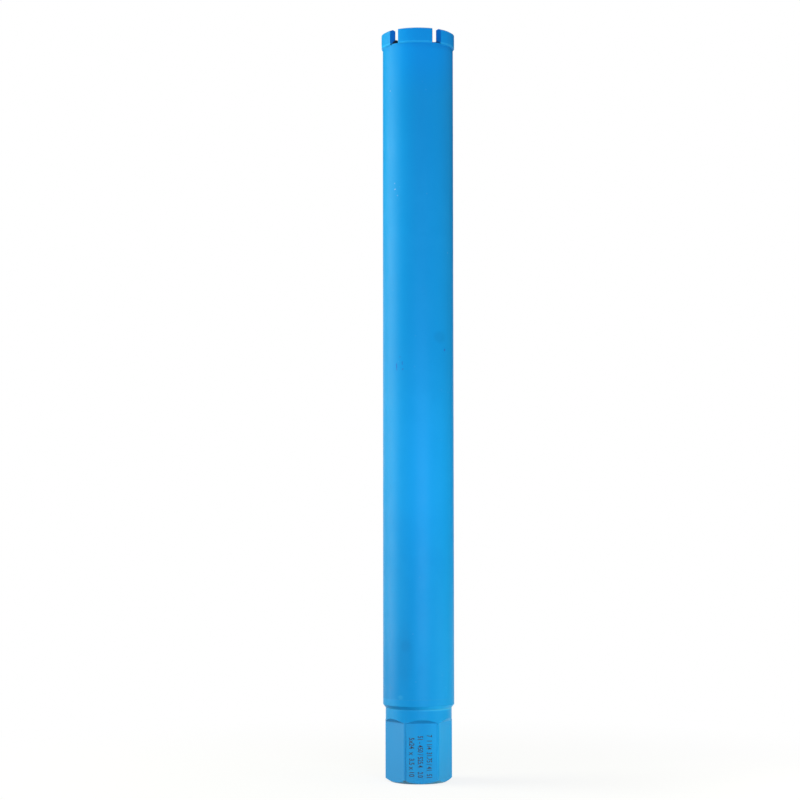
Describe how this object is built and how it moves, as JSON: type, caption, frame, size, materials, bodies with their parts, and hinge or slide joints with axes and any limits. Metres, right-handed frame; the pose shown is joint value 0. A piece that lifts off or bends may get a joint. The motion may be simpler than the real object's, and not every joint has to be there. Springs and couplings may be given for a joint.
{
  "type": "diamond core bit",
  "caption": "Tall tubular wet core bit with a ring of curved diamond segments at one end and a hexagonal adaptor with a female spindle thread at the other.",
  "frame": {"origin": "centre of the spindle end face, on the axis of rotation, where the bit stands", "axes": "+Z along the axis of rotation, from the spindle end to the cutting end; -Y faces the viewer and is 5 degrees from the middle of the flat with the size numbers"},
  "size_m": [0.0514, 0.0515, 0.5254],
  "materials": {
    "adaptor_paint": "satin sky-blue paint over turned and milled steel",
    "barrel_paint": "satin sky-blue paint over drawn steel tube",
    "segment_paint": "satin sky-blue paint over sintered diamond segment"
  },
  "bodies": {
    "root": {"adaptor": "adaptor_paint", "barrel_tube": "barrel_paint", "segment_1": "segment_paint", "segment_2": "segment_paint", "segment_3": "segment_paint", "segment_4": "segment_paint", "segment_5": "segment_paint"}
  },
  "joints": []
}
